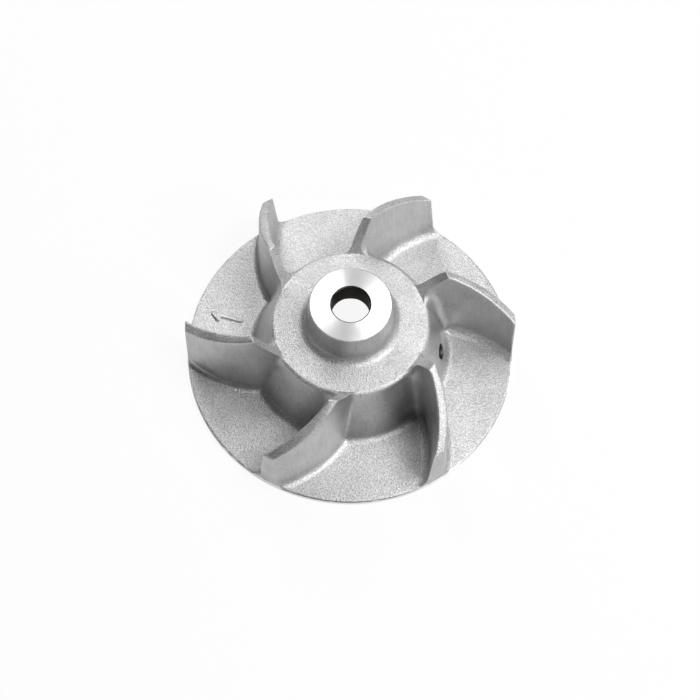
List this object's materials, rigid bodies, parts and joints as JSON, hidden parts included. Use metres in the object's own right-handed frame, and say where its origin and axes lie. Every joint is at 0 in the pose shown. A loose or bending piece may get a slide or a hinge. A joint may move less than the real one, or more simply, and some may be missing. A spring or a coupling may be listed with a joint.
{
  "type": "pump impeller",
  "caption": "Open cast impeller for an engine coolant pump: a flat disc with swept vanes round a hollow conical hub, and a machined boss with a press-fit bore.",
  "frame": {"origin": "centre of the disc's back face, which is the face that the part rests on", "axes": "+Z along the shaft, from the disc's back to the machined boss face; the vanes sweep clockwise going outwards, seen from +Z"},
  "size_m": [0.14, 0.14, 0.0456],
  "materials": {
    "cast_aluminium": "as cast and shot-blasted, with a turned boss face and bore"
  },
  "bodies": {
    "root": {"impeller": "cast_aluminium"}
  },
  "joints": []
}
